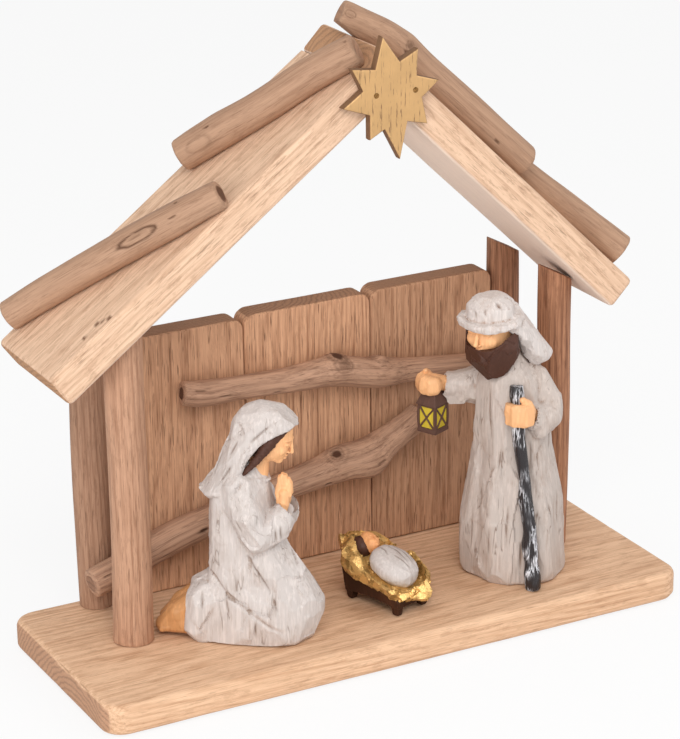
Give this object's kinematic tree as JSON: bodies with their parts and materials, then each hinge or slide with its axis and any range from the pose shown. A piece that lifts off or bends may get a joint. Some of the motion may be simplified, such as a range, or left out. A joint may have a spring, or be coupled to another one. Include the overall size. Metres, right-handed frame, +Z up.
{
  "type": "wooden nativity stable",
  "caption": "Small open stable with a round-cornered base, board back wall, round posts, gable roof, driftwood trim, gable star and loose figures.",
  "frame": {"origin": "centre of the base board's underside", "axes": "+X to the right seen from the open front, +Y to the rear wall, +Z up; the open front faces -Y"},
  "size_m": [0.3032, 0.1142, 0.2939],
  "materials": {
    "base_pine": "satin oiled softwood",
    "wall_wood": "satin stained wood",
    "post_tan": "satin stained wood",
    "post_red_brown": "satin stained wood",
    "roof_wood": "satin softwood",
    "driftwood": "matte weathered wood",
    "branch_wood": "matte weathered wood",
    "gold_paint": "gold paint over wood, metallic sheen",
    "steel": "zinc plated",
    "cast_white": "painted cast resin with a brown wash",
    "cast_skin": "painted cast resin",
    "cast_brown": "painted cast resin",
    "staff_black": "black paint brushed with silver",
    "lantern_brown": "painted cast resin",
    "lantern_yellow": "painted cast resin",
    "straw_gold": "metallic gold paint"
  },
  "bodies": {
    "stable": {"base_board": "base_pine", "wall_board_left": "wall_wood", "wall_board_middle": "wall_wood", "wall_board_right": "wall_wood", "post_front_left": "post_tan", "post_rear_left": "post_tan", "post_rear_right": "post_red_brown", "post_front_right": "post_red_brown", "roof_board_left": "roof_wood", "roof_board_right": "roof_wood", "roof_log_left_lower": "driftwood", "roof_log_left_upper": "driftwood", "roof_log_right_upper": "driftwood", "roof_log_right_lower": "driftwood", "branch_upper": "branch_wood", "branch_lower": "branch_wood", "star": "gold_paint", "post_screws": "steel", "wall_screws": "steel", "ridge_brads": "steel", "log_brads": "steel", "branch_brads": "steel", "star_brads": "steel"},
    "woman": {"woman_robe": "cast_white", "woman_veil": "cast_white", "woman_head": "cast_skin", "woman_hair": "cast_brown", "woman_hands": "cast_skin", "woman_feet": "cast_skin"},
    "man": {"man_robe": "cast_white", "man_headcloth": "cast_white", "man_head": "cast_skin", "man_beard": "cast_brown", "man_hands": "cast_skin", "man_staff": "staff_black", "lantern_frame": "lantern_brown", "lantern_panes": "lantern_yellow"},
    "crib": {"crib_box": "cast_brown", "crib_straw": "straw_gold", "infant_wrap": "cast_white", "infant_head": "cast_skin", "infant_hair": "cast_brown"}
  },
  "joints": [
    {"name": "woman_lift", "type": "slide", "parent": "stable", "child": "woman", "axis": [0, -0.94, 0.3412], "range_m": [0, 0.18]},
    {"name": "man_lift", "type": "slide", "parent": "stable", "child": "man", "axis": [0, -0.94, 0.3412], "range_m": [0, 0.18]},
    {"name": "crib_lift", "type": "slide", "parent": "stable", "child": "crib", "axis": [0, -0.94, 0.3412], "range_m": [0, 0.18]}
  ]
}
